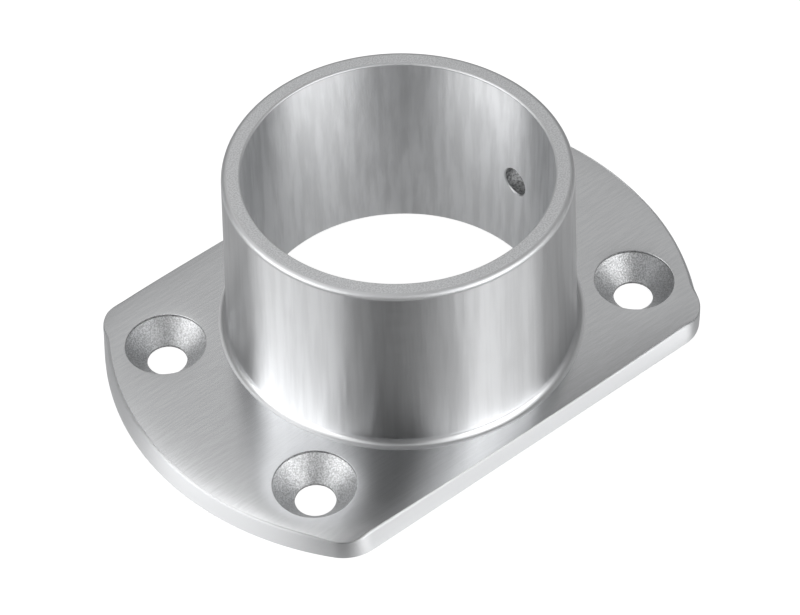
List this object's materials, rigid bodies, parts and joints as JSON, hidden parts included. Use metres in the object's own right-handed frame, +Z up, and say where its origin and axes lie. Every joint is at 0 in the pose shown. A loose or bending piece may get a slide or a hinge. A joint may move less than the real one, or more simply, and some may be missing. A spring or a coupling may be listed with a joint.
{
  "type": "tube clamp base flange",
  "caption": "Cast stainless base flange: a round collar for a tube on a flat foot with two straight sides and countersunk screw holes.",
  "frame": {"origin": "on the bore's axis, at the underside of the foot", "axes": "+Z up along the bore's axis, out of the collar; X along the two straight sides of the foot, with the set screw's hole facing +X; Y across them"},
  "size_m": [0.102, 0.0684, 0.0381],
  "materials": {
    "stainless": "collar brushed round its axis, foot satin, countersinks rough as blasted"
  },
  "bodies": {
    "root": {"base_flange": "stainless"}
  },
  "joints": []
}
